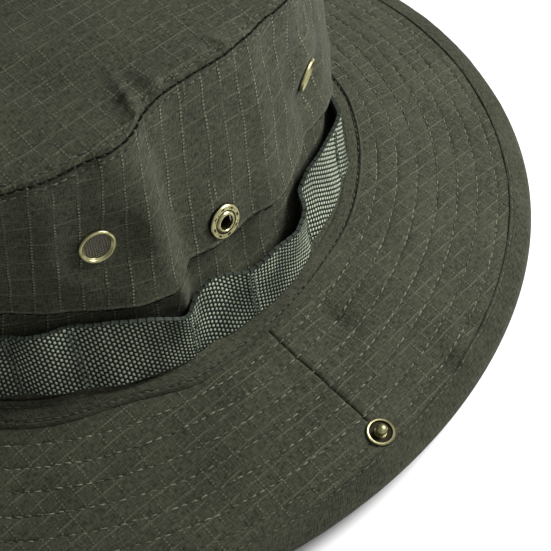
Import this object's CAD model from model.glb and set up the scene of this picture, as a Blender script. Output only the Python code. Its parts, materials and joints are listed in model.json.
import json
from math import cos, pi, radians, sin, tau

import bpy
import numpy as np
from mathutils import Matrix, Vector

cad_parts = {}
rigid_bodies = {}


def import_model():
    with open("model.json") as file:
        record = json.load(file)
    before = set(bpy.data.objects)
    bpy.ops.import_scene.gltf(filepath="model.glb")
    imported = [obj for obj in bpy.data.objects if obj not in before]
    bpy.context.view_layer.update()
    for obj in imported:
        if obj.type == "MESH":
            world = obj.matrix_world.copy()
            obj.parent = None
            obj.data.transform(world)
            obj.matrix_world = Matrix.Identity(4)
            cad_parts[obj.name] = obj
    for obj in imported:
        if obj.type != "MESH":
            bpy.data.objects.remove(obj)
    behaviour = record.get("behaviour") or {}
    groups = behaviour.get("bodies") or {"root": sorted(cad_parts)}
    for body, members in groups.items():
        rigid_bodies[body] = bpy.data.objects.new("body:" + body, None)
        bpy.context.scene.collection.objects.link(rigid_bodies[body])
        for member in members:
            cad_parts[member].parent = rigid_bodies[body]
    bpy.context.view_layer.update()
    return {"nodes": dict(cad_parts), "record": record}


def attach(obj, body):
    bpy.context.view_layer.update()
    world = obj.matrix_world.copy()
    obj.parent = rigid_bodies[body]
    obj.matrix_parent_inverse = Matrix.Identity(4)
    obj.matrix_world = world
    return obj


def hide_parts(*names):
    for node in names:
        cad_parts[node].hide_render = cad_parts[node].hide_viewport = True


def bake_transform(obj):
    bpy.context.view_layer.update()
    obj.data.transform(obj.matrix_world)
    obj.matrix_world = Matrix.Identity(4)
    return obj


# Boonie hat. Lengths are millimetres until a mesh is made. "Angle" is in degrees round the head
# oval from +X, "reach" runs outwards over the brim from the foot of the crown, and "height" runs
# up the crown from the brim, as in the part's source.

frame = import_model()
mounts = {mount["name"]: mount for mount in frame["record"]["mounts"]}
foot_z = 1000 * mounts["head_opening"]["pos_m"][2]

# ---- sizes shared with the CAD part ----
head_half_width, head_half_length = 82.5, 100.0
crown_height, side_lean, end_lean, crown_dome = 90.0, 21.0, 3.0, 6.0
lower_seam_height = 34.5
brim_width, side_drop, end_drop, level_share = 74.0, 11.0, 19.0, 0.12
skin, brim_cloth = 0.7, 2.2
binding_width, binding_cloth = 8.6, 0.8
strip_cloth = 0.9
webbing_foot, webbing_height, webbing_cloth = 2.2, 25.0, 1.3
tack_angles = (-48, -35, -13, 1, 20, 38, 58, 78, 102, 122, 142, 160, 179, 193, 215, 228, 249, 270, 291)
socket_height, vent_height = 41.4, 57.5
vents = {"left_front": -25.0, "left_back": 33.0, "right_back": 147.0, "right_front": 205.0}
vent_radius, vent_bore, stud_reach, barrel_radius = 6.0, 4.4, 60.46, 3.1
back_seam, fold_strip = 90.0, 13.0

# The cloth lies flat within the first distance of a fitting's centre, and is soft past the second.
crown_flat, brim_flat = (7.5, 17.0), (6.0, 14.0)

# How the soft wall leans at each vent: outwards per millimetre of height.
vent_leans = {"left_front": 0.05, "left_back": 0.40, "right_back": 0.10, "right_front": 0.16}

# How deep the lower band sinks behind the webbing, by angle.
band_pockets = ((-80.0, 1.5), (-60.0, 1.4), (-30.0, 1.2), (-14.5, 0.4), (-12.0, 0.1), (-10.0, 3.4),
                (-4.0, 3.8), (8.0, 3.4), (16.0, 2.6), (24.0, 3.4), (34.0, 3.0), (45.0, 2.6),
                (62.0, 2.8), (80.0, 1.2), (110.0, 1.6), (168.0, 2.4), (192.0, 2.6), (240.0, 1.2))

# How the soft crown stands. At each angle: how far it swells out at the lower seam, half way up
# and at the top seam, then how far the lower seam and the top seam rise from their cut height.
crown_folds = np.array([
    (-80.0, 0.5, 1.0, 1.0, 1.0, 0.0),
    (-60.0, -1.5, 0.5, 1.5, 2.5, 0.0),
    (-47.0, -3.0, 0.0, 2.5, 4.0, -0.8),
    (-37.0, -1.5, 0.5, 3.0, 2.2, -1.5),
    (-28.0, 1.5, 1.5, 3.0, -0.2, -1.5),
    (-21.0, 4.2, 2.8, 2.5, -1.6, -0.8),
    (-14.3, 5.6, 4.4, 2.6, -1.8, -0.3),
    (-12.2, 3.8, 2.6, 1.6, -0.6, 0.2),
    (-9.6, -1.0, -2.2, -1.6, 1.6, 0.8),
    (-5.0, -1.5, -2.5, -3.0, -0.1, 2.0),
    (3.0, -1.0, -1.5, -3.0, 0.5, 2.0),
    (9.0, 1.0, 0.5, -2.5, 0.3, 1.6),
    (15.0, 3.0, 2.0, -1.5, 0.0, 0.8),
    (20.5, 1.0, 1.5, -1.0, 1.2, 0.2),
    (28.0, -1.8, -0.5, 0.0, 2.6, 0.0),
    (37.0, 0.8, 1.0, 1.0, 1.2, 0.0),
    (44.0, 1.6, 1.5, 1.0, 0.4, -0.3),
    (53.0, 0.0, 1.5, 1.0, 0.0, -0.5),
    (72.0, 1.5, 0.0, 0.0, -0.5, 0.0),
    (97.0, -1.0, 1.0, 1.0, 0.8, 0.4),
    (118.0, 1.5, 0.5, -1.0, -0.4, 0.8),
    (139.0, -1.5, 1.5, 0.5, 1.5, 0.0),
    (158.0, 2.5, 1.5, 1.5, -0.8, -0.4),
    (172.0, -1.0, -2.0, -1.5, 0.6, 1.2),
    (192.0, 1.0, -1.0, -1.5, 0.2, 1.0),
    (202.0, 2.5, 2.0, 1.5, -0.8, 0.0),
    (222.0, -2.0, 0.5, 1.5, 1.6, -0.6),
    (243.0, 1.5, 1.5, 0.0, -0.4, 0.0),
    (262.0, -0.5, 0.0, 0.5, 0.6, 0.4),
])

# The webbing where it has slumped and bowed, on the wearer's left: angle, how far its foot and its
# top stand off the crown, the heights of its foot and top, and whether it is tacked there.
webbing_bows = (
    (-60.0, 3.0, 3.0, 3.6, 28.8, False), (-48.0, 0.0, 0.0, 5.4, 31.0, True),
    (-41.5, 3.2, 3.4, 5.8, 32.6, False), (-35.0, 0.0, 0.0, 3.2, 31.0, True),
    (-28.0, 3.8, 3.6, 3.4, 30.8, False), (-20.0, 4.2, 7.6, 2.8, 29.0, False),
    (-15.5, 3.8, 8.6, 1.8, 25.0, False), (-13.0, 1.8, 6.4, 1.2, 22.5, True),
    (-9.0, 1.8, 2.4, 1.4, 25.0, False), (-6.0, 3.0, 2.0, 1.3, 26.0, False),
    (0.5, 2.8, 5.2, 0.8, 21.5, True), (7.0, 3.8, 7.0, 1.2, 23.6, False),
    (12.5, 3.9, 8.4, 1.4, 23.0, False), (16.5, 3.4, 6.8, 1.8, 24.0, False),
    (20.0, 1.0, 2.0, 2.6, 27.0, True), (25.0, 2.8, 1.8, 4.0, 29.0, False),
    (30.0, 3.4, 2.6, 3.4, 28.4, False), (38.0, 2.4, 3.6, 2.4, 27.2, True),
    (43.5, 4.2, 4.4, 2.4, 26.8, False), (50.0, 1.6, 0.2, 2.2, 26.4, False),
    (58.0, -0.6, -1.4, 2.2, 26.2, True), (68.0, 0.6, -0.4, 2.2, 26.6, False),
)

# Soft dents in the brim: angle, reach, depth, then spread round the brim and across it.
brim_dents = (
    (11.0, 15.0, 1.2, 7.0, 7.0), (9.5, 26.0, 0.8, 5.0, 7.0), (10.2, 19.0, 1.7, 1.8, 9.0),
    (21.0, 62.0, 1.5, 1.7, 5.5), (14.0, 62.0, 1.5, 1.6, 7.0), (5.0, 64.0, 0.7, 6.0, 6.0),
    (-3.0, 22.0, 0.6, 10.0, 6.0), (-26.0, 38.0, 1.3, 8.0, 12.0), (-36.0, 26.0, 0.9, 4.5, 9.0),
    (118.0, 55.0, 1.2, 14.0, 9.0), (172.0, 60.0, 1.0, 9.0, 7.0), (195.0, 24.0, 0.9, 9.0, 8.0),
    (236.0, 58.0, 1.2, 14.0, 9.0), (-62.0, 40.0, 1.2, 16.0, 12.0), (70.0, 30.0, 1.0, 14.0, 10.0),
)

# Pleats and dips in the top panel by its seam: angle, rise and spread round the seam, then how far
# inwards each one lies and how wide it is that way.
top_pleats = (
    (-10.2, 1.7, 1.3, 0.0, 14.0), (-6.8, -1.3, 2.0, 0.0, 12.0), (13.2, 1.1, 1.2, 0.0, 9.0),
    (10.6, -0.9, 1.5, 0.0, 8.0), (-1.6, -1.0, 1.0, 2.5, 2.2),
)

stitch_pitch = 3.3
pick_across, pick_along = 1.38, 1.92
row_pitch, first_row, row_count = 7.7, 14.5, 7
row_reaches = [first_row + row_pitch * i for i in range(row_count)]


# ---- small helpers ----
def smooth(x, low, high):
    t = np.clip((x - low) / (high - low), 0, 1)
    return t * t * (3 - 2 * t)


def bell(x, width):
    return np.exp(-(x / width) ** 2)


def unit(vectors):
    return vectors / np.linalg.norm(vectors, axis=-1, keepdims=True)


def run_along(points):
    """How far each point of a line lies from its first one, along the line."""
    return np.concatenate([[0], np.cumsum(np.linalg.norm(np.diff(points, axis=0), axis=-1))])


def turn(angle):
    """An angle's place between -180 and 180 degrees."""
    return (angle + 180) % 360 - 180


def wander(points, wavelength, seed):
    """A smooth, slow variation over space, about -1 to 1."""
    draw = np.random.default_rng(seed)
    total = np.zeros(points.shape[:-1])
    for _ in range(6):
        direction = draw.normal(size=3)
        direction *= tau / (np.linalg.norm(direction) * wavelength * draw.uniform(0.7, 1.5))
        total += np.sin(points @ direction + draw.uniform(0, tau))
    return total / 3


fine_step = 0.25
fine_turns = np.arange(0, 360, fine_step)


def rounded(values, spread):
    """Values at fine_turns with their corners rounded over a few degrees."""
    reach = np.arange(-3 * spread, 3 * spread + 0.01, fine_step)
    weights = bell(reach, spread)
    padded = np.concatenate([values[-len(reach):], values, values[:len(reach)]])
    eased = np.convolve(padded, weights / weights.sum(), mode="same")
    return eased[len(reach):-len(reach)]


def round_the_hat(angles, values, spread):
    """A smooth curve of angle through a few (angle, value) pairs."""
    return rounded(np.interp(fine_turns, angles, values, period=360), spread)


fold_curves = [round_the_hat(crown_folds[:, 0], crown_folds[:, i], 1.1) for i in range(1, 6)]
pocket_curve = round_the_hat(*zip(*band_pockets), 0.8)


def between(angle, curve):
    return np.interp(angle, fine_turns, curve, period=360)


def levels(height, at, values):
    """Eased values between a few heights."""
    result = values[0] + 0 * height
    for low, high, a, b in zip(at, at[1:], values, values[1:]):
        result = result + (b - a) * smooth(height, low, high)
    return result


# ---- the hat's surfaces ----
def wall(angle, height, off=0.0):
    """The crown's wall as cut, before it softens."""
    a, share = np.radians(angle), height / crown_height
    return np.stack(np.broadcast_arrays(
        (head_half_width - side_lean * share + off) * np.cos(a),
        (head_half_length - end_lean * share + off) * np.sin(a),
        foot_z + height), -1)


def flat_by_hardware(nominal):
    """Nought at a snap or vent, one away from it."""
    free = 1.0
    places = [(0, socket_height), (180, socket_height)] + [(a, vent_height) for a in vents.values()]
    for angle, height in places:
        centre = wall(float(angle), height)
        free = free * smooth(np.linalg.norm(nominal - centre, axis=-1), *crown_flat)
    return free


def leaning(nominal, height):
    """The wall's lean close to each vent."""
    lean = 0.0
    for name, angle in vents.items():
        near = 1 - smooth(np.linalg.norm(nominal - wall(angle, vent_height), axis=-1), *crown_flat)
        lean = lean + vent_leans[name] * near * (height - vent_height)
    return lean


def softness(angle, height):
    """How far the soft crown stands off its wall as cut, and how far it rises."""
    nominal = wall(angle, height)
    free = flat_by_hardware(nominal)
    low, middle, high, lower_rise, upper_rise = [between(angle, curve) for curve in fold_curves]
    swell = levels(height, (0.0, 20.0, lower_seam_height, vent_height, crown_height),
                   (0.0, 0.35 * low, low, middle, high))
    rise = levels(height, (0.0, lower_seam_height, crown_height), (0.0, lower_rise, upper_rise))
    loose = smooth(height, 4, 20)
    swell = swell + loose * (0.5 * wander(nominal, 26, 3) + 0.22 * wander(nominal, 11, 4))
    return free * swell + leaning(nominal, height), free * rise


def soft_wall(angle, height, off=0.0):
    """The crown's wall with its swells, its crease and its small unevenness."""
    angle, height = np.broadcast_arrays(np.asarray(angle, float), np.asarray(height, float))
    swell, rise = softness(angle, height)
    return wall(angle, height + rise, off + swell)


def wall_raised(lift):
    """The soft wall at a steady lift, as a surface of angle and height."""
    def surface(angle, height):
        return soft_wall(angle, height, lift)
    return surface


def pocket(angle, height):
    """How far the lower band sinks in behind the webbing."""
    return between(angle, pocket_curve) * bell(height - 22, 9.5)


def brim_drop(angle):
    sideways = np.maximum(0, (np.cos(np.radians(angle)) ** 2 - level_share) / (1 - level_share))
    return end_drop - (end_drop - side_drop) * sideways


def brim(angle, reach, lift=0.0):
    """The brim's upper face as cut."""
    a = np.radians(angle)
    slope = np.arcsin(brim_drop(angle) / brim_width)
    out = unit(np.stack([head_half_length * np.cos(a), head_half_width * np.sin(a)], -1))
    run = reach * np.cos(slope)
    return np.stack(np.broadcast_arrays(
        head_half_width * np.cos(a) + out[..., 0] * run,
        head_half_length * np.sin(a) + out[..., 1] * run,
        foot_z + lift - reach * np.sin(slope)), -1)


def soft_brim(angle, reach, lift=0.0):
    """The brim with its slow waves and dents, flat where the snap's stud is set."""
    angle, reach = np.broadcast_arrays(np.asarray(angle, float), np.asarray(reach, float))
    nominal = brim(angle, reach)
    middle = smooth(reach, 6, 22) * (1 - smooth(reach, brim_width - 7, brim_width - 1))
    uneven = middle * (0.30 * wander(nominal, 46, 5) + 0.16 * wander(nominal, 17, 6))
    for at, far, depth, spread, across in brim_dents:
        uneven = uneven - depth * bell(turn(angle - at), spread) * bell(reach - far, across) * middle
    free = 1.0
    for side in (0.0, 180.0):
        free = free * smooth(np.linalg.norm(nominal - brim(side, stud_reach), axis=-1), *brim_flat)
    return brim(angle, reach, lift + free * uneven)


def brim_raised(lift):
    """The soft brim at a steady lift, as a surface of angle and reach."""
    def surface(angle, reach):
        return soft_brim(angle, reach, lift)
    return surface


def top(angle, inwards):
    """The crown's top panel, by the distance inwards from its seam."""
    rim = soft_wall(angle, crown_height)
    cut = wall(angle, crown_height)
    span = np.linalg.norm(cut[..., :2], axis=-1)
    share = np.clip(1 - inwards / span, 0, 1)
    settle = smooth(inwards, 0, 34)
    point = cut + (rim - cut) * (1 - settle)[..., None]
    point = point * np.stack([share, share, 1 + 0 * share], -1)
    dome = crown_dome * (1 - share ** 2)
    slack = smooth(inwards, 6, 26) * (0.9 * wander(cut * share[..., None], 60, 8)
                                      + 0.3 * wander(cut * share[..., None], 21, 9))
    point[..., 2] += dome + slack - 0.6 * settle
    return point


# ---- mesh making ----
def add_piece(name, verts, faces, corner_uvs, material, replaced=()):
    mesh = bpy.data.meshes.new(name)
    mesh.from_pydata((np.asarray(verts) / 1000).tolist(), [], faces)
    layer = mesh.uv_layers.new(name="thread")
    layer.data.foreach_set("uv", np.asarray(corner_uvs, np.float32).ravel())
    mesh.polygons.foreach_set("use_smooth", [True] * len(mesh.polygons))
    mesh.set_sharp_from_angle(angle=radians(48))
    mesh.materials.append(material)
    mesh.validate()
    piece = bpy.data.objects.new(name, mesh)
    bpy.context.scene.collection.objects.link(piece)
    if replaced:
        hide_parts(*replaced)
    return piece


def grid_normals(grid, wrap):
    if wrap:
        along = np.roll(grid, -1, 0) - np.roll(grid, 1, 0)
    else:
        along = np.gradient(grid, axis=0)
    normal = np.cross(along, np.gradient(grid, axis=1))
    return normal / np.maximum(np.linalg.norm(normal, axis=-1, keepdims=True), 1e-9)


def slab(grid, uv, thickness, wrap, pole=None):
    """Closed cloth from a grid of its outer face: its vertices, faces and the uv at each corner.

    The grid runs round the hat and then across the cloth, so that its normal points outwards.
    A wrapped grid's uv has one more column. A pole closes the far side at one point."""
    columns, rows = grid.shape[:2]
    inner = grid - grid_normals(grid, wrap) * thickness
    verts = [grid.reshape(-1, 3), inner.reshape(-1, 3)]
    flat_uv = uv.reshape(-1, 2)
    last = columns if wrap else columns - 1
    i, j = np.meshgrid(np.arange(last), np.arange(rows - 1), indexing="ij")
    i, j = i.ravel(), j.ravel()
    total = columns * rows

    def corners(pairs):
        """Vertex and uv numbers for (side, column, row) corners."""
        vertex = [side * total + (c % columns) * rows + r for side, c, r in pairs]
        mapped = [c * rows + r for side, c, r in pairs]
        return np.stack(vertex, -1), np.stack(mapped, -1)

    sets = [corners([(0, i, j), (0, i + 1, j), (0, i + 1, j + 1), (0, i, j + 1)]),
            corners([(1, i, j), (1, i, j + 1), (1, i + 1, j + 1), (1, i + 1, j)])]
    c = np.arange(last)
    near, far = 0 * c, 0 * c + rows - 1
    sets.append(corners([(0, c, near), (1, c, near), (1, c + 1, near), (0, c + 1, near)]))
    if pole is None:
        sets.append(corners([(0, c, far), (0, c + 1, far), (1, c + 1, far), (1, c, far)]))
    if not wrap:
        r = np.arange(rows - 1)
        start, end = 0 * r, 0 * r + columns - 1
        sets.append(corners([(0, start, r), (0, start, r + 1), (1, start, r + 1), (1, start, r)]))
        sets.append(corners([(0, end, r), (1, end, r), (1, end, r + 1), (0, end, r + 1)]))
    faces = [tuple(f) for vertex, _ in sets for f in vertex.tolist()]
    uvs = np.concatenate([flat_uv[mapped].reshape(-1, 2) for _, mapped in sets])
    if pole is not None:
        point, pole_uv = pole
        verts.append(np.array([point, point - np.array([0, 0, thickness])]))
        for k in range(columns):
            a, b = k * rows + rows - 1, ((k + 1) % columns) * rows + rows - 1
            faces.append((a, b, 2 * total))
            faces.append((total + b, total + a, 2 * total + 1))
            first, second = flat_uv[a], flat_uv[(k + 1) * rows + rows - 1]
            uvs = np.concatenate([uvs, [first, second, pole_uv, second, first, pole_uv]])
    return np.concatenate(verts), faces, uvs


def arc_uv(grid, wrap, shear=0.0):
    """A uv in millimetres: the run round the hat at each row's middle, and the way across."""
    across = np.concatenate([np.zeros((grid.shape[0], 1)),
                             np.cumsum(np.linalg.norm(np.diff(grid, axis=1), axis=-1), axis=1)], axis=1)
    if wrap:
        grid = np.concatenate([grid, grid[:1]])
        across = np.concatenate([across, across[:1]])
    middle = grid[:, grid.shape[1] // 2]
    run = run_along(middle)
    return np.stack([run[:, None] + shear * across, across], -1)


def plan_uv(grid, wrap, bias):
    """A uv in millimetres for a flat-cut panel, its threads turned by bias degrees."""
    if wrap:
        grid = np.concatenate([grid, grid[:1]])
    c, s = cos(radians(bias)), sin(radians(bias))
    x, y = grid[..., 0], grid[..., 1]
    return np.stack([c * x + s * y, c * y - s * x], -1)


def cloth(name, grid, uv, thickness, wrap, material, replaced=(), pole=None):
    verts, faces, uvs = slab(grid, uv, thickness, wrap, pole)
    return add_piece(name, verts, faces, uvs, material, replaced)


def punch(piece, holes):
    """Cut round holes through a piece of cloth. Each hole is its centre, its axes and its radius."""
    sides, depth = 48, 4.0
    verts, faces = [], []
    for centre, axes, radius in holes:
        base = len(verts)
        for z in (-depth, depth):
            for k in range(sides):
                a = tau * k / sides
                verts.append(centre + axes @ np.array([radius * cos(a), radius * sin(a), z]))
        faces.append(tuple(base + k for k in reversed(range(sides))))
        faces.append(tuple(base + sides + k for k in range(sides)))
        for k in range(sides):
            n = (k + 1) % sides
            faces.append((base + k, base + n, base + sides + n, base + sides + k))
    mesh = bpy.data.meshes.new("punches")
    mesh.from_pydata((np.array(verts) / 1000).tolist(), [], faces)
    cutter = bpy.data.objects.new("punches", mesh)
    bpy.context.scene.collection.objects.link(cutter)
    cut = piece.modifiers.new("punches", "BOOLEAN")
    cut.operation, cut.solver, cut.object = "DIFFERENCE", "EXACT", cutter
    punched = piece.evaluated_get(bpy.context.evaluated_depsgraph_get())
    punched = bpy.data.meshes.new_from_object(punched)
    piece.modifiers.clear()
    piece.data = punched
    bpy.data.objects.remove(cutter)


# ---- stitches ----
class Thread:
    """Stitches gathered into one piece. Each is a short bent bar that dives into the cloth."""

    shares = (0.0, 0.12, 0.5, 0.88, 1.0)
    rises = (-0.7, 0.45, 0.85, 0.45, -0.7)
    girths = (0.55, 0.95, 1.0, 0.95, 0.55)
    sides = 6

    def __init__(self):
        self.verts, self.faces, self.uvs, self.count = [], [], [], 0

    def run(self, points, normals, pitch=stitch_pitch, radius=0.24, fill=0.74, wrap=False):
        if wrap:
            points = np.concatenate([points, points[:1]])
            normals = np.concatenate([normals, normals[:1]])
        length = run_along(points)
        number = max(1, round(length[-1] / pitch))
        starts = np.arange(number) * length[-1] / number
        draw = np.random.default_rng(number)
        span = length[-1] / number * fill * draw.uniform(0.8, 1.08, number)
        sway = draw.normal(0, 0.11, (2, number, 1))

        def at(place, values):
            return np.stack([np.interp(place, length, values[:, k]) for k in range(3)], -1)

        head, tail = at(starts, points), at(starts + span, points)
        along = unit(tail - head)
        up = at(starts + span / 2, normals)
        up = unit(up - along * (up * along).sum(-1, keepdims=True))
        side = np.cross(along, up)
        rings = []
        for share, rise, girth in zip(self.shares, self.rises, self.girths):
            middle = at(starts + span * share, points) + up * radius * rise
            middle = middle + side * (sway[0] + (sway[1] - sway[0]) * share)
            for k in range(self.sides):
                a = tau * k / self.sides
                rings.append(middle + girth * radius * (cos(a) * side + sin(a) * up))
        block = np.stack(rings, 1)
        per = block.shape[1]
        bars = len(self.shares)
        for n in range(number):
            base = self.count + n * per
            for b in range(bars - 1):
                for k in range(self.sides):
                    nxt = (k + 1) % self.sides
                    a, c = base + b * self.sides, base + (b + 1) * self.sides
                    self.faces.append((a + k, a + nxt, c + nxt, c + k))
                    low, high = k / self.sides, (k + 1) / self.sides
                    self.uvs += [(b, low), (b, high), (b + 1, high), (b + 1, low)]
            self.faces.append(tuple(base + k for k in reversed(range(self.sides))))
            self.faces.append(tuple(base + (bars - 1) * self.sides + k for k in range(self.sides)))
            self.uvs += [(0, k / self.sides) for k in range(self.sides)] * 2
        self.verts.append(block.reshape(-1, 3))
        self.count += number * per

    def piece(self, name, material, slot_name):
        return add_piece(name, np.concatenate(self.verts), self.faces, self.uvs, material)


def line_on(surface, angles, across, lift=0.0):
    """Points along a surface at a steady place across it, with its outward normals."""
    step = 0.4
    point = surface(angles, across)
    along = surface(angles + 0.2, across) - surface(angles - 0.2, across)
    over = surface(angles, across + step) - surface(angles, across - step)
    normal = unit(np.cross(along, over))
    outwards = np.sign(point * [1, 1, 0] + [0, 0, 1]) * [0.3, 0.3, 1.0]
    normal *= np.sign((normal * outwards).sum(-1, keepdims=True))
    return point + normal * lift, normal


def sew_round(thread, surface, across, raised=0.0, pitch=3.0, radius=0.2, fill=0.74):
    """A closed row of stitches round the hat, at a steady place across a surface."""
    points, normals = line_on(surface, turns, across + 0 * turns)
    thread.run(points + [0, 0, raised], normals, pitch, radius, fill, wrap=True)


# ---- materials ----
class Graph:
    """A material's nodes, with its thread-wise uv in millimetres as u and v."""

    def __init__(self, name, roughness, sheen=0.0, metallic=0.0, specular=0.5):
        self.material = bpy.data.materials.new(name)
        self.material.use_nodes = True
        self.tree = self.material.node_tree
        self.shader = self.tree.nodes["Principled BSDF"]
        self.shader.inputs["Roughness"].default_value = roughness
        self.shader.inputs["Metallic"].default_value = metallic
        self.shader.inputs["Specular IOR Level"].default_value = specular
        self.shader.inputs["Sheen Weight"].default_value = sheen
        self.shader.inputs["Sheen Roughness"].default_value = 0.5

    def node(self, kind, **values):
        node = self.tree.nodes.new("ShaderNode" + kind)
        for key, value in values.items():
            setattr(node, key, value)
        return node

    def put(self, socket, value):
        if isinstance(value, bpy.types.NodeSocket):
            self.tree.links.new(value, socket)
        else:
            socket.default_value = value

    def threads(self):
        uv = self.node("UVMap", uv_map="thread")
        split = self.node("SeparateXYZ")
        self.put(split.inputs[0], uv.outputs[0])
        return split.outputs[0], split.outputs[1]

    def place(self):
        return self.node("TexCoord").outputs["Object"]

    def math(self, operation, a, b=0.0, c=0.0):
        node = self.node("Math", operation=operation)
        for socket, value in zip(node.inputs, (a, b, c)):
            self.put(socket, value)
        return node.outputs[0]

    def times(self, a, b):
        return self.math("MULTIPLY", a, b)

    def vector(self, x, y, z=0.0):
        node = self.node("CombineXYZ")
        for socket, value in zip(node.inputs, (x, y, z)):
            self.put(socket, value)
        return node.outputs[0]

    def dot(self, vector, axis):
        node = self.node("VectorMath", operation="DOT_PRODUCT")
        self.put(node.inputs[0], vector)
        self.put(node.inputs[1], axis)
        return node.outputs["Value"]

    def noise(self, vector, scale, detail=2.0, rough=0.5):
        node = self.node("TexNoise")
        self.put(node.inputs["Vector"], vector)
        self.put(node.inputs["Scale"], scale)
        self.put(node.inputs["Detail"], detail)
        self.put(node.inputs["Roughness"], rough)
        return node.outputs["Fac"]

    def ease(self, value, low, high, to_low=0.0, to_high=1.0):
        node = self.node("MapRange", interpolation_type="SMOOTHSTEP")
        for socket, number in zip(node.inputs, (value, low, high, to_low, to_high)):
            self.put(socket, number)
        return node.outputs[0]

    def mix(self, factor, a, b, blend="MIX"):
        node = self.node("Mix", data_type="RGBA", blend_type=blend)
        self.put(node.inputs[0], factor)
        self.put(node.inputs[6], a if isinstance(a, bpy.types.NodeSocket) else (*a, 1))
        self.put(node.inputs[7], b if isinstance(b, bpy.types.NodeSocket) else (*b, 1))
        return node.outputs[2]

    def wave(self, value, period, phase=0.0):
        """A wave from 0 to 1 with its crest at nought."""
        swing = self.math("MULTIPLY_ADD", value, tau / period, phase)
        return self.math("MULTIPLY_ADD", self.math("COSINE", swing), 0.5, 0.5)

    def finish(self, colour, height=None, distance=0.0001, strength=1.0, roughness=None):
        self.put(self.shader.inputs["Base Color"], colour)
        if roughness is not None:
            self.put(self.shader.inputs["Roughness"], roughness)
        if height is not None:
            bump = self.node("Bump")
            bump.inputs["Strength"].default_value = strength
            bump.inputs["Distance"].default_value = distance
            self.put(bump.inputs["Height"], height)
            self.put(self.shader.inputs["Normal"], bump.outputs[0])
        return self.material


def ripstop(name, dark, light, marks=0.8, crossed=0.5, pitch=5.7, dot=1.25, swapped=False):
    """Plain-woven cotton with heavier pale threads at a steady pitch.

    The ones along one way show as dots; the ones that cross them show as thin lines."""
    g = Graph(name, roughness=0.88, sheen=0.05, specular=0.18)
    u, v = g.threads()
    if swapped:
        u, v = v, u
    warp = g.noise(g.vector(g.times(u, 2.6), g.times(v, 0.45)), 1.0, 2.0)
    weft = g.noise(g.vector(g.times(u, 0.45), g.times(v, 2.6), 7.0), 1.0, 2.0)
    weave = g.math("ADD", g.times(warp, 0.5), g.times(weft, 0.5))
    slow = g.noise(g.vector(u, v, 3.0), 0.045, 3.0)
    patchy = g.ease(g.noise(g.vector(u, v, 11.0), 0.16, 2.0), 0.38, 0.6, 0.25, 1.0)
    sway = g.times(g.math("SUBTRACT", g.noise(g.vector(u, v, 5.0), 0.08, 2.0), 0.5), 1.6)
    lines, sunk = [], []
    for across, along, weight, low, high in ((u, v, 1.0, 0.35, 0.8), (v, u, crossed, -0.8, 0.9)):
        cell = g.math("FRACT", g.math("DIVIDE", g.math("ADD", across, sway), pitch))
        away = g.times(g.math("SUBTRACT", cell, 0.5), pitch)
        line = g.ease(g.math("ABSOLUTE", away), 0.46, 0.20)
        knots = g.ease(g.wave(along, dot), low, high)
        lines.append(g.times(g.times(line, knots), g.times(patchy, weight)))
        beside = g.ease(g.math("ABSOLUTE", g.math("ADD", away, 0.5)), 0.26, 0.05, 0.0, 0.8 * weight)
        sunk.append(g.times(beside, patchy))
    lines, sunk = g.math("MAXIMUM", *lines), g.math("MAXIMUM", *sunk)
    tone = g.math("MULTIPLY_ADD", g.math("SUBTRACT", slow, 0.5), 0.18, weave)
    colour = g.mix(g.ease(tone, 0.31, 0.67), dark, light)
    colour = g.mix(g.times(sunk, marks), colour, tuple(0.4 * c for c in dark))
    colour = g.mix(g.times(lines, marks), colour, tuple(2.4 * c for c in light))
    height = g.math("SUBTRACT", g.math("MULTIPLY_ADD", lines, 0.9, weave), g.times(sunk, 0.6))
    return g.finish(colour, height, distance=0.00018, strength=0.8)


def basket(name):
    """Coarse webbing: pale rounded threads standing out of a dark ground, in staggered columns."""
    g = Graph(name, roughness=0.6, specular=0.3)
    u, v = g.threads()
    column, pick = pick_across, pick_along
    uneven = g.math("SUBTRACT", g.noise(g.vector(u, v, 2.0), 0.30, 2.0), 0.5)
    u = g.math("MULTIPLY_ADD", uneven, 0.45, u)
    cell = g.math("DIVIDE", u, column)
    odd = g.math("MODULO", g.math("FLOOR", cell), 2.0)
    shifted = g.math("DIVIDE", g.math("MULTIPLY_ADD", odd, pick / 2, v), pick)
    from_column = g.times(g.math("SUBTRACT", g.math("FRACT", cell), 0.5), column / 0.50)
    from_pick = g.times(g.math("SUBTRACT", g.math("FRACT", shifted), 0.5), pick / 0.66)
    away = g.math("ADD", g.math("POWER", g.math("ABSOLUTE", from_column), 2.2),
                  g.math("POWER", g.math("ABSOLUTE", from_pick), 2.2))
    rim = webbing_height
    selvedges = g.times(g.ease(v, -0.1, 0.5), g.ease(v, rim + 0.1, rim - 0.5))
    dots = g.times(g.ease(away, 1.15, 0.45), selvedges)
    fibre = g.noise(g.vector(g.times(u, 1.5), g.times(v, 7.0), 5.0), 1.0, 2.0)
    slow = g.ease(g.noise(g.vector(u, g.times(v, 0.6), 9.0), 0.05, 2.0), 0.36, 0.62)
    ground = g.mix(slow, (0.002, 0.0035, 0.002), (0.006, 0.009, 0.006))
    crest = g.mix(g.math("MULTIPLY_ADD", fibre, 0.5, g.times(slow, 0.6)),
                  (0.07, 0.095, 0.065), (0.475, 0.535, 0.39))
    colour = g.mix(selvedges, (0.024, 0.032, 0.023), g.mix(dots, ground, crest))
    height = g.math("MULTIPLY_ADD", fibre, 0.10, g.ease(away, 1.5, 0.0))
    return g.finish(colour, height, distance=0.00045, strength=1.0)


def thread(name, dark, light, shine=0.25):
    g = Graph(name, roughness=0.7, sheen=0.6 * shine, specular=shine)
    fibre = g.noise(g.place(), 2600.0, 2.0)
    slow = g.ease(g.noise(g.place(), 210.0, 3.0), 0.40, 0.62, -0.3, 0.5)
    return g.finish(g.mix(g.math("ADD", fibre, slow), dark, light), fibre, distance=0.00005, strength=0.6)


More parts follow.
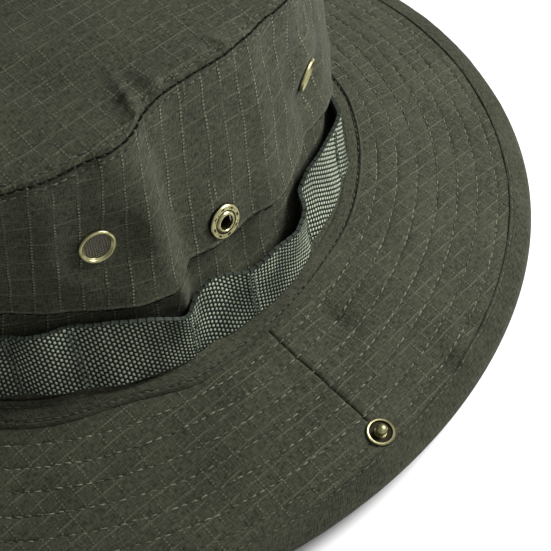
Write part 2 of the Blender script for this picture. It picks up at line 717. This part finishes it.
def felt(name):
    g = Graph(name, roughness=0.95)
    fibre = g.noise(g.place(), 900.0, 4.0, 0.7)
    return g.finish(g.mix(fibre, (0.11, 0.11, 0.085), (0.20, 0.20, 0.16)), fibre, distance=0.0001)


def antique(name, dark, bright, worn, rings=(), pips=None, centre=None, axes=None):
    """Plated brass, rubbed bright on top and gone brown in its hollows.

    Rings are the dark hollows, as radii from the fitting's centre; pips are a radius and a count."""
    g = Graph(name, roughness=0.34, metallic=1.0)
    cloudy = g.noise(g.place(), 260.0, 3.0, 0.5)
    pitted = g.noise(g.place(), 2400.0, 3.0, 0.6)
    shaded = g.ease(cloudy, 0.45, 0.75, 0.0, worn)
    if centre is not None:
        offset = g.node("VectorMath", operation="SUBTRACT")
        g.put(offset.inputs[0], g.place())
        g.put(offset.inputs[1], tuple(centre))
        x, y = [g.dot(offset.outputs[0], tuple(1000 * c for c in axis)) for axis in axes]
        radius = g.math("SQRT", g.math("ADD", g.times(x, x), g.times(y, y)))
        for low, high in rings:
            band = g.times(g.ease(radius, low - 0.15, low), g.ease(radius, high + 0.15, high))
            shaded = g.math("MAXIMUM", shaded, band)
        if pips:
            swing = g.times(g.math("ARCTAN2", y, x), float(pips[1]))
            dots = g.ease(g.math("COSINE", swing), 0.25, 0.7)
            ring = g.ease(g.math("ABSOLUTE", g.math("SUBTRACT", radius, pips[0])), 0.42, 0.22)
            shaded = g.math("MAXIMUM", shaded, g.times(dots, ring))
    colour = g.mix(shaded, bright, dark)
    rough = g.ease(g.math("ADD", g.times(cloudy, 0.6), g.times(pitted, 0.4)),
                   0.3, 0.7, 0.26, 0.42)
    return g.finish(colour, pitted, distance=0.00003, strength=0.4, roughness=rough)


def wire(name, colour, roughness):
    g = Graph(name, roughness=roughness, metallic=1.0)
    drawn = g.noise(g.place(), 1800.0, 2.0)
    tint = g.mix(drawn, tuple(0.7 * c for c in colour), colour)
    return g.finish(tint, drawn, distance=0.00002, strength=0.4)


def plain_floor():
    g = Graph("floor_paper", roughness=0.9, specular=0.2)
    grain = g.noise(g.place(), 6.0, 3.0)
    return g.finish(g.mix(grain, (0.90, 0.90, 0.90), (0.93, 0.93, 0.93)))


olive_dark, olive_light = (0.0115, 0.0122, 0.0074), (0.062, 0.0655, 0.0415)
crown_cloth = ripstop("crown_ripstop", olive_dark, olive_light, marks=1.0, crossed=0.30, pitch=7.2)
top_cloth = ripstop("crown_top_ripstop", olive_dark, olive_light, marks=0.42, crossed=0.8, swapped=True)
brim_material = ripstop("brim_ripstop", olive_dark, olive_light, marks=0.44, crossed=0.8, swapped=True)
strip_material = ripstop("strip_ripstop", olive_dark, olive_light, marks=0.2)
shade_dark, shade_light = (0.012, 0.013, 0.008), (0.056, 0.059, 0.038)
lining_material = ripstop("lining_ripstop", shade_dark, shade_light, marks=0.4)
edge_material = ripstop("binding_ripstop", shade_dark, (0.058, 0.061, 0.039), marks=0.15)
inner_material = ripstop("inner_cloth", shade_dark, (0.042, 0.044, 0.029), marks=0.15)
webbing_material = basket("webbing_weave")
pale_thread = thread("pale_thread", (0.033, 0.035, 0.023), (0.175, 0.182, 0.121))
dull_thread = thread("dull_thread", (0.03, 0.032, 0.021), (0.085, 0.09, 0.06))
seam_thread = thread("seam_thread", (0.002, 0.002, 0.0015), (0.008, 0.008, 0.006), shine=0.03)
green_thread = thread("green_thread", (0.02, 0.03, 0.021), (0.10, 0.13, 0.095))
felt_material = felt("interlining")
brass_dark, brass_bright = (0.024, 0.020, 0.014), (0.44, 0.415, 0.215)
brass = antique("antique_brass", brass_dark, brass_bright, worn=0.3)
dull_brass = antique("back_brass", (0.05, 0.042, 0.026), (0.30, 0.27, 0.17), worn=0.6)
screen_wire = wire("screen_wire", (0.32, 0.305, 0.24), 0.45)
spring_wire = wire("spring_wire", (0.62, 0.61, 0.56), 0.3)

turns = np.arange(0, 360, 0.6)


# ---- crown ----
def seam_groove(distance):
    """The cloth turns in sharply at a sewn seam."""
    return 2.8 * bell(distance, 0.62)


def back_groove(angle):
    """The crown's cloth turns in at its back seam, too."""
    return bell(turn(angle - back_seam) * 1.55, 0.55)


def seam_pucker(angle, distance, seed):
    """Small gathers that run out from a sewn line."""
    ring = wall(angle, lower_seam_height)
    return 0.16 * wander(ring, 7.0, seed) * bell(distance, 6.0)


def make_crown():
    rim = np.array([0.0, 0.2, 0.45, 0.75, 1.1])
    rows = np.concatenate([lower_seam_height + rim,
                           np.arange(lower_seam_height + 1.9, crown_height - 1.4, 1.0),
                           crown_height - rim[::-1]])
    angle, height = np.meshgrid(turns, rows, indexing="ij")
    low, high = height - lower_seam_height, crown_height - height
    off = 0.5 * (1 - smooth(low, 4.5, 8.0)) - 0.35 * bell(low - 2.4, 0.7) - seam_groove(low)
    off = off + 0.8 * bell(low - 1.2, 2.6)
    off = off + 0.35 * (1 - smooth(high, 5.5, 9.0)) - 0.28 * bell(high - 2.2, 0.9) - seam_groove(high)
    off = off + seam_pucker(angle, low, 21) + seam_pucker(angle, high - 1, 22)
    off = off - 0.55 * back_groove(angle)
    grid = soft_wall(angle, height, off)
    panel_cloth = cloth("crown_side_panel_cloth", grid, arc_uv(grid, True, shear=-0.2), 0.9, True,
                        crown_cloth, ["crown_side_panel"])
    holes = [(*wall_plane(side, socket_height), barrel_radius + 0.1) for side in (0.0, 180.0)]
    for name, angle in vents.items():
        holes.append((*wall_plane(angle, vent_height, vent_leans[name]), vent_bore + 0.2))
    punch(panel_cloth, holes)

    rows = np.concatenate([np.arange(0.4, lower_seam_height - 1.7, 1.1), lower_seam_height - rim[::-1]])
    angle, height = np.meshgrid(turns, rows, indexing="ij")
    lobe = bell(turn(angle + 12.6), 2.0)
    off = -0.1 - pocket(angle, height) - seam_groove(height - lower_seam_height)
    off = off - 2.0 * smooth(height, 22, 31) * (1 - lobe) + 1.6 * lobe * bell(height - 27, 6)
    off = off - 0.4 * back_groove(angle)
    grid = soft_wall(angle, height, off)
    cloth("crown_lower_band_cloth", grid, arc_uv(grid, True, shear=-0.2), 0.8, True, crown_cloth,
          ["crown_lower_band"])

    inwards = np.concatenate([[0.0, 0.25, 0.6, 1.0], np.arange(1.6, 14, 0.8), np.linspace(14, 57, 30)])
    angle, inwards = np.meshgrid(turns, inwards, indexing="ij")
    grid = top(angle, inwards)
    allowance = 0.85 * (1 - smooth(inwards, 8.5, 10.5)) - seam_groove(inwards)
    allowance = allowance - 0.3 * bell(inwards - 2.3, 0.9)
    allowance = allowance + 1.3 * seam_pucker(angle, inwards, 23)
    allowance = allowance + 0.4 * bell(inwards - 5, 3) * wander(grid, 9, 24)
    centre = top(np.array([0.0]), np.array([head_half_width]))[0]
    for at, rise, spread, far, across in top_pleats:
        allowance = allowance + rise * bell(turn(angle - at), spread) * bell(inwards - far, across)
    grid[..., 2] += allowance
    cloth("crown_top_cloth", grid, plan_uv(grid, True, -3), 0.9, True, top_cloth,
          ["crown_top"], pole=(centre, (0.0, 0.0)))

    rows = np.linspace(crown_height - 7.5, crown_height - 0.8, 7)
    angle, height = np.meshgrid(turns, rows, indexing="ij")
    grid = soft_wall(angle, height, -1.35)
    cloth("crown_seam_tape_cloth", grid, arc_uv(grid, True), 0.6, True, inner_material,
          ["crown_seam_tape"])

    rows = np.linspace(0.8, 33.0, 26)
    angle, height = np.meshgrid(turns, rows, indexing="ij")
    slack = 0.25 * wander(wall(angle, height), 14, 31) * smooth(height, 2, 8)
    swell, _ = softness(angle, height)
    sunk = pocket(angle, height) + 2.0 * smooth(height, 22, 31)
    grid = wall(angle, height, np.minimum(swell, 0) - 2.4 - slack - sunk)
    cloth("sweatband_cloth", grid, arc_uv(grid, True, shear=0.9), 1.0, True, inner_material,
          ["sweatband"])

    stitching = Thread()
    for height in (lower_seam_height + 1.9, crown_height - 2.2):
        sew_round(stitching, wall_raised(0.3), height)
    sew_round(stitching, top, 2.3, raised=0.58)
    for side in (-1.0, 1.0):
        heights = np.arange(lower_seam_height + 3, crown_height - 3, 1.0)
        angles = back_seam + side * 1.3 + 0 * heights
        up = soft_wall(angles, heights, 0.0)
        stitching.run(up, np.tile([0.0, 1.0, 0.0], (len(heights), 1)), pitch=3.0, radius=0.2)
    stitching.piece("crown_stitching", dull_thread, "ripstop")
    ditch = Thread()
    sew_round(ditch, wall_raised(0.12), crown_height, radius=0.34, fill=0.94)
    sew_round(ditch, wall_raised(-0.05), lower_seam_height, pitch=4.0, radius=0.38, fill=1.0)
    ditch.piece("crown_seam_threads", seam_thread, "ripstop")


# ---- webbing ----
def webbing_rows():
    """The bows set out above, and plain loops between the rest of the tacks."""
    rows = list(webbing_bows)
    draw = np.random.default_rng(12)
    for tack, following in zip(tack_angles, tack_angles[1:] + (tack_angles[0] + 360,)):
        if tack < webbing_bows[-1][0] or following > webbing_bows[0][0] + 360:
            continue
        bow, lean, rise = draw.uniform(2.8, 3.6), draw.uniform(0.2, 1.2), draw.uniform(-0.6, 0.8)
        rows.append((tack, 0.0, 0.0, webbing_foot, webbing_foot + webbing_height, True))
        rows.append(((tack + following) / 2, bow, bow + lean, webbing_foot + rise,
                     webbing_foot + webbing_height + rise, False))
    last = tack_angles[-1]
    rows.append((last, 0.0, 0.0, 3.5, 28.5, True))
    return sorted(rows)


def webbing_curves():
    """Foot and top stand-off, then foot and top height, at fine_turns: full between the tacks."""
    rows = webbing_rows()
    rows.append((rows[0][0] + 360, *rows[0][1:]))
    curves = np.zeros((4, len(fine_turns)))
    for first, second in zip(rows, rows[1:]):
        for k, angle in enumerate(fine_turns):
            share = ((angle - first[0]) % 360) / (second[0] - first[0])
            if share >= 1:
                continue
            bowed = share
            if first[5]:
                bowed = sin(share * pi / 2)
            elif second[5]:
                bowed = 1 - cos(share * pi / 2)
            for c in range(4):
                way = bowed if c < 2 else share
                curves[c, k] = first[1 + c] + way * (second[1 + c] - first[1 + c])
    return [rounded(curve, 0.8) for curve in curves]


webbing_lines = webbing_curves()


def webbing_surface(angle, across):
    """The webbing's outer face: across runs from 0 at its foot to 1 at its top."""
    foot_off, top_off, foot_height, top_height = [between(angle, line) for line in webbing_lines]
    height = foot_height + across * (top_height - foot_height)
    off = foot_off + across * (top_off - foot_off) - 0.5 * np.sin(pi * np.clip(across, 0, 1))
    swell, _ = softness(angle, height)
    least = swell - pocket(angle, height) + webbing_cloth + 0.25
    return wall(angle, height, np.maximum(off, least) + 0.15 * bell(off - least, 1.0))


def make_webbing():
    angles = np.arange(0, 360, 0.28)
    across = np.linspace(0, 1, 38)
    angle, share = np.meshgrid(angles, across, indexing="ij")
    flat = webbing_surface(angle, share)
    uv = arc_uv(flat, True)
    uv[..., 1] = webbing_height * across
    run = uv[:-1, :, 0]
    inside = smooth(share, 0, 0.05) * smooth(1 - share, 0, 0.05)
    weave = np.cos(run * pi / pick_across) * np.cos(uv[:-1, :, 1] * tau / pick_along)
    normal = grid_normals(flat, True)
    grid = flat + normal * (0.12 * weave * inside)[..., None]
    webbing = cloth("branch_loop_webbing_band", grid, uv, webbing_cloth, True, webbing_material,
                    ["branch_loop_webbing"])
    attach(webbing, "root")
    tacks = Thread()
    across = np.linspace(0.04, 0.96, 30)
    for angle in tack_angles:
        for shift in (-0.45, 0.45):
            points, _ = line_on(webbing_surface, angle + shift + 0 * across, across)
            normals = wall(angle + 0 * across, 0 * across, 1.0) - wall(angle + 0 * across, 0 * across)
            tacks.run(points, normals, pitch=2.2, radius=0.3, fill=0.85)
    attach(tacks.piece("webbing_tacks", green_thread, "webbing"), "root")


# ---- brim ----
quarters = {
    "left_front": (-90.0, 0.0, -4.0), "left_back": (0.0, 90.0, 3.0),
    "right_back": (90.0, 180.0, -3.0), "right_front": (180.0, 270.0, 4.0),
}
halves = {"left": (-90.0, 90.0), "right": (90.0, 270.0)}


def bend(piece):
    """The brim turns up along its fold, over a soft strip of cloth."""
    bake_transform(piece)


def quilted(angle, reach):
    """The pull of the stitch rows, and the sunk seam at each side."""
    nominal = brim(angle, reach)
    sunk = sum(0.42 * bell(reach - row, 0.42) + 0.14 * bell(reach - row, 1.5) for row in row_reaches)
    sunk = sunk * (1 + 0.55 * wander(nominal, 5, 61))
    from_seam = np.minimum(np.abs(turn(angle)), np.abs(turn(angle - 180))) * radians(1)
    from_seam = from_seam * np.linalg.norm(nominal[..., :2], axis=-1)
    seam = 0.85 * bell(from_seam, 0.36) - 0.2 * smooth(5.5 - from_seam, 0, 1.5)
    fades = 1 - smooth(reach, stud_reach - 6, stud_reach - 5)
    return -sunk - seam * fades


def brim_face(angle, reach):
    return soft_brim(angle, reach, quilted(angle, reach))


def brim_underside(angle, reach):
    return soft_brim(angle, reach, -quilted(angle, reach) * 0.7 - brim_cloth)


def make_brim():
    plain = [reach for reach in np.arange(0.0, brim_width - 1.4, 1.2)
             if min(abs(reach - row) for row in row_reaches) > 0.7]
    sewn = [row + step for row in row_reaches for step in (-0.5, 0.0, 0.5)]
    reaches = np.array(sorted([-1.2, *plain, *sewn, brim_width - 1.2]))
    layers = (("brim_cloth", "brim_upper", brim_face, reaches[::-1], 0, brim_material),
              ("brim_lining_cloth", "brim_lining", brim_underside, reaches, 90, lining_material))
    for name, (low, high, bias) in quarters.items():
        side, end = name.split("_")
        angles = np.concatenate([[low, low + 0.15, low + 0.4], np.linspace(low + 0.75, high - 0.75, 168),
                                 [high - 0.4, high - 0.15, high]])
        for layer, node, surface, ordered, quarter_turn, material in layers:
            angle, reach = np.meshgrid(angles, ordered, indexing="ij")
            grid = surface(angle, reach)
            piece = cloth(f"{layer}_{name}", grid, plan_uv(grid, False, bias + quarter_turn), skin, False,
                          material, [f"{node}_{side}_flap_{end}", f"{node}_{end}"])
            bend(piece)
    for side, (low, high) in halves.items():
        angles = np.linspace(low, high, 330)
        angle, reach = np.meshgrid(angles, np.arange(brim_width - 3, 1, -1.2), indexing="ij")
        grid = soft_brim(angle, reach, -skin - 0.35)
        piece = cloth(f"brim_interlining_{side}", grid, plan_uv(grid, False, 0), 0.2, False, felt_material,
                      [f"brim_stiffener_{side}_flap", "brim_stiffener_centre"])
        bend(piece)
        make_binding(side, low, high)
        make_brim_stitches(side, low, high)


def binding_profile():
    """Reach and lift round the binding: its top fold, its rolled edge, its lower fold."""
    inner, rim = brim_width - binding_width, brim_width
    top_lift, low_lift = binding_cloth + 0.05, -brim_cloth - binding_cloth - 0.05
    middle, half = (top_lift + low_lift) / 2, (top_lift - low_lift) / 2
    upper = [(inner + 0.05, 0.12), (inner + 0.12, 0.5), (inner + 0.5, 0.74), (inner + 1.0, 0.5),
             (inner + 1.6, 0.62), (inner + 2.4, top_lift)]
    upper += [(inner + 2.4 + k * (rim - half - inner - 2.4) / 4, top_lift) for k in range(1, 5)]
    roll = [(rim - half + half * cos(radians(a)), middle + half * sin(radians(a)))
            for a in (75, 60, 45, 30, 15, 0, -15, -30, -45, -60, -75)]
    lower = [(reach, 2 * middle - lift) for reach, lift in reversed(upper)]
    inside = [(inner + 0.4, -brim_cloth - 0.05), (rim - 1.1, -brim_cloth - 0.05), (rim - 0.9, middle),
              (rim - 1.1, 0.02), (inner + 0.4, 0.02)]
    return upper + roll + lower + inside


def make_binding(side, low, high):
    bias_slope = 0.7
    profile = np.array(binding_profile())
    angles = np.linspace(low, high, 420)
    angle = angles[:, None] + 0 * profile[None, :, 0]
    reach = profile[None, :, 0] + 0 * angle
    lift = profile[None, :, 1] + 0 * angle
    gather = wander(brim(angle, reach), 6.0, 41) * 0.10 + wander(brim(angle, reach), 16.0, 42) * 0.12
    grid = soft_brim(angle, reach, lift + gather * (lift > 0.05) - gather * (lift < -brim_cloth - 0.1))
    columns, rows = grid.shape[:2]
    run = run_along(grid[:, 8])
    across = run_along(profile)
    across = np.append(across, across[-1] + 1.0)
    faces, uvs = [], []
    for i in range(columns - 1):
        for j in range(rows):
            k = (j + 1) % rows
            faces.append(((i + 1) * rows + j, (i + 1) * rows + k, i * rows + k, i * rows + j))
            corners = ((i + 1, j), (i + 1, j + 1), (i, j + 1), (i, j))
            uvs += [(run[c] + bias_slope * across[r], across[r]) for c, r in corners]
    faces.append(tuple(range(rows)))
    faces.append(tuple((columns - 1) * rows + j for j in reversed(range(rows))))
    uvs += [(0.0, across[j]) for j in reversed(range(rows))] * 2
    piece = add_piece(f"brim_binding_cloth_{side}", grid.reshape(-1, 3), faces, uvs,
                      edge_material,
                      [f"brim_binding_{side}_flap", "brim_binding_front", "brim_binding_back"])
    bend(piece)


def make_brim_stitches(side, low, high):
    rows, edge = Thread(), Thread()
    angles = np.arange(low + 0.3, high - 0.2, 0.5)
    for number, reach in enumerate(row_reaches):
        steady = reach + 0.25 * np.sin(np.radians(angles) * 5 + number)
        around = [angles]
        if abs(reach - stud_reach) < 6:
            middle = 0.0 if side == "left" else 180.0
            around = [angles[angles < middle - 2.3], angles[angles > middle + 2.3]]
            steady = reach + 0 * angles
        for part in around:
            across = np.interp(part, angles, steady)
            points, normals = line_on(brim_face, part, across, lift=0.05)
            rows.run(points, normals, radius=0.23)
            points, normals = line_on(brim_underside, part, across)
            rows.run(points - normals * 0.05, -normals, radius=0.23)
    inner = brim_width - binding_width + 1.0
    for lift, sign in ((0.52, 1), (-brim_cloth - 0.52, -1)):
        points, normals = line_on(brim_raised(lift), angles, inner + 0 * angles)
        edge.run(points, sign * normals, radius=0.2, pitch=3.0)
    bend(rows.piece(f"brim_stitching_{side}", pale_thread, "ripstop"))
    bend(edge.piece(f"binding_stitching_{side}", dull_thread, "edge_binding"))


def strip_drift(angle):
    """How far the base strip wanders from its line beside the front vent and the crease."""
    return 1.5 * bell(turn(angle + 16), 6) - 1.8 * bell(turn(angle + 31), 9)


def make_base_strip():
    edge = [9.15, 9.0, 8.7, 8.4, 8.1, 7.8, 7.55, 7.3, 7.05, 6.8]
    reach = np.concatenate([edge, np.arange(6.4, 1.0, -0.4), [0.75]])
    angle, reach = np.meshgrid(turns, reach, indexing="ij")
    lift = 0.25 + strip_cloth - 0.7 * smooth(reach, 8.8, 9.15) - 0.85 * bell(reach - 7.3, 0.42)
    lift = lift - 0.6 * bell(reach - 2.2, 0.6) + 0.55 * bell(reach - 8.4, 0.5)
    lift = lift + 0.12 * wander(brim(angle, reach), 8, 51) + 0.9 * bell(reach, 1.4)
    uneven = 0.35 * wander(brim(angle, 5 + 0 * reach), 38, 52) + strip_drift(angle)
    grid = soft_brim(angle, reach + uneven, lift)
    strip = cloth("base_strip_cloth", grid, arc_uv(grid, True, shear=0.5), strip_cloth, True, strip_material,
                  ["base_strip"])
    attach(strip, "root")
    stitching = Thread()
    for reach in (2.2, 7.5):
        sew_round(stitching, brim_raised(0.75), reach + strip_drift(turns))
    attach(stitching.piece("base_strip_stitching", dull_thread, "ripstop"), "root")


# ---- hardware ----
def wall_plane(angle, height, lean=0.0):
    """The frame of a fitting on the crown: its x runs round, its y up and its z outwards."""
    step = 0.01
    along = wall(angle + step, height) - wall(angle - step, height)
    up = wall(angle, height + step, lean * step) - wall(angle, height - step, -lean * step)
    z = unit(np.cross(along, up))
    x = unit(along)
    return wall(angle, height), np.stack([x, np.cross(z, x), z], 1)


def spun_ring(name, profile, origin, axes, material, replaced):
    """A ring spun from its closed profile of (radius, height) points."""
    sides, count = 72, len(profile)
    verts, faces, uvs = [], [], []
    for i in range(sides):
        a = tau * i / sides
        for radius, height in profile:
            verts.append(origin + axes @ np.array([radius * cos(a), radius * sin(a), height]))
        for j in range(count):
            k, n = (j + 1) % count, (i + 1) % sides
            faces.append((i * count + j, n * count + j, n * count + k, i * count + k))
            uvs += [(i, j), (i + 1, j), (i + 1, j + 1), (i, j + 1)]
    return add_piece(name, np.array(verts), faces, uvs, material, [replaced])


def make_vents():
    bore, rim = vent_bore, vent_radius
    front = [(bore, -2.6), (bore + 0.4, -2.6), (bore + 0.4, 0.05), (rim - 0.4, 0.05), (rim - 0.1, 0.2),
             (rim, 0.45), (rim, 0.75), (rim - 0.12, 1.05), (rim - 0.35, 1.28), (rim - 0.65, 1.36),
             (rim - 0.95, 1.25), (rim - 1.15, 1.0), (bore + 0.3, 0.75), (bore + 0.1, 0.68), (bore, 0.5)]
    washer = [(bore + 0.45, -2.4), (6.0, -2.4), (6.3, -2.0), (6.3, -1.55), (bore + 0.45, -1.55)]
    for name, angle in vents.items():
        origin, axes = wall_plane(angle, vent_height, vent_leans[name])
        ring = spun_ring(f"{name}_vent_ring", front, origin, axes, brass,
                         f"{name}_vent_rim")
        back = spun_ring(f"{name}_vent_back", washer, origin, axes, dull_brass,
                         f"{name}_vent_washer")
        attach(ring, "root")
        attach(back, "root")


def make_screens():
    """Woven wire in each vent, on the slant."""
    pitch, radius, sides, slant = 0.56, 0.13, 5, 0.7071
    reach = vent_bore - 0.05
    for name, angle in vents.items():
        origin, axes = wall_plane(angle, vent_height, vent_leans[name])
        verts, faces, uvs = [], [], []
        for way in (0, 1):
            offsets = np.arange(-reach + 0.3, reach - 0.2, pitch)
            for number, offset in enumerate(offsets):
                half = (reach ** 2 - offset ** 2) ** 0.5
                run = np.arange(-half, half + 0.01, pitch / 3)
                bow = 0.13 * np.cos(pi * run / pitch + pi * (number + way))
                middle = np.stack([run, offset + 0 * run, 0.2 + bow], 1)
                base = len(verts)
                for point in middle:
                    for k in range(sides):
                        a = tau * k / sides
                        x, y, z = point + [0, radius * cos(a), radius * sin(a)]
                        if way:
                            x, y = -y, x
                        x, y = (x - y) * slant, (x + y) * slant
                        verts.append(origin + axes @ np.array([x, y, z]))
                for i in range(len(run) - 1):
                    for k in range(sides):
                        n = (k + 1) % sides
                        a, b = base + i * sides, base + (i + 1) * sides
                        faces.append((a + k, b + k, b + n, a + n))
                        uvs += [(i, k), (i + 1, k), (i + 1, k + 1), (i, k + 1)]
                faces.append(tuple(base + k for k in range(sides)))
                last = base + (len(run) - 1) * sides
                faces.append(tuple(last + k for k in reversed(range(sides))))
                uvs += [(0, k) for k in range(sides)] * 2
        piece = add_piece(f"{name}_vent_screen", np.array(verts), faces, uvs, screen_wire,
                          [f"{name}_vent_mesh"])
        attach(piece, "root")


def fitting_brass(name, node):
    """Brass for a socket or a stud, dark in its own hollows."""
    side = 180.0 if name.startswith("right") else 0.0
    if "socket" in name:
        origin, axes = wall_plane(side, socket_height)
        rings, pips = [(0.0, 2.5), (3.75, 4.15), (6.05, 7.0)], (4.95, 8)
    else:
        origin = brim(side, stud_reach)
        outward = brim(side, stud_reach + 1.0) - origin
        axes = np.stack([outward, np.array([0.0, 1.0, 0.0])], 1)
        rings, pips = [(2.15, 3.85)], None
    home = node.matrix_world.inverted()
    centre = home @ Vector(origin / 1000)
    local = [(home.to_3x3() @ Vector(axes[:, k])).normalized() for k in range(2)]
    return antique(name + "_brass", brass_dark, brass_bright, 0.2, rings, pips, centre, local)


def dress_hardware():
    for name, node in frame["nodes"].items():
        if node.hide_render:
            continue
        if "spring" in name:
            finish = spring_wire
        elif "cap" in name:
            finish = dull_brass
        else:
            finish = fitting_brass(name, node)
        node.data.materials.clear()
        node.data.materials.append(finish)


# ---- the studio ----
def make_studio():
    side = 3.0
    mesh = bpy.data.meshes.new("studio_floor")
    corners = [(-side, -side, 0), (side, -side, 0), (side, side, 0), (-side, side, 0)]
    mesh.from_pydata(corners, [], [(0, 1, 2, 3)])
    mesh.materials.append(plain_floor())
    floor = bpy.data.objects.new("studio_floor", mesh)
    bpy.context.scene.collection.objects.link(floor)

    world = bpy.data.worlds.new("soft_room")
    bpy.context.scene.world = world
    world.use_nodes = True
    world.node_tree.nodes["Background"].inputs["Color"].default_value = (1.0, 1.0, 1.0, 1)
    world.node_tree.nodes["Background"].inputs["Strength"].default_value = 0.27

    add_light("key", (0.28, 0.46, 0.46), (0.09, 0.05, 0.04), size=0.30, power=6.6)
    add_light("fill", (1.1, -0.2, 0.9), (0.05, 0.0, 0.05), size=0.9, power=2.0)


def add_light(name, place, target, size, power):
    data = bpy.data.lights.new(name, "AREA")
    data.shape = "DISK"
    data.size = size
    data.energy = power
    light = bpy.data.objects.new(name, data)
    light.location = place
    light.rotation_euler = (Vector(target) - Vector(place)).to_track_quat("-Z", "Y").to_euler()
    bpy.context.scene.collection.objects.link(light)


def make_camera():
    azimuth, elevation, roll = radians(46.1), radians(52.6), radians(-2.15)
    target, distance, lens = Vector((0.0741, 0.0210, 0.0158)), 0.470, 87.2
    back = Vector((sin(azimuth) * cos(elevation), -cos(azimuth) * cos(elevation), sin(elevation)))
    right = Vector((0, 0, 1)).cross(back).normalized()
    up = back.cross(right)
    right, up = cos(roll) * right + sin(roll) * up, cos(roll) * up - sin(roll) * right
    data = bpy.data.cameras.new("camera")
    data.lens, data.sensor_width = lens, 36.0
    data.clip_start = 0.01
    camera = bpy.data.objects.new("camera", data)
    bpy.context.scene.collection.objects.link(camera)
    facing = Matrix((right, up, back)).transposed().to_4x4()
    camera.matrix_world = Matrix.Translation(target + back * distance) @ facing
    bpy.context.scene.camera = camera


make_studio()
make_camera()
before = set(bpy.data.objects)
make_crown()
for piece in [item for item in bpy.data.objects if item not in before]:
    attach(piece, "root")
make_webbing()
make_brim()
make_base_strip()
make_vents()
make_screens()
dress_hardware()
bpy.context.scene.view_settings.view_transform = "Standard"
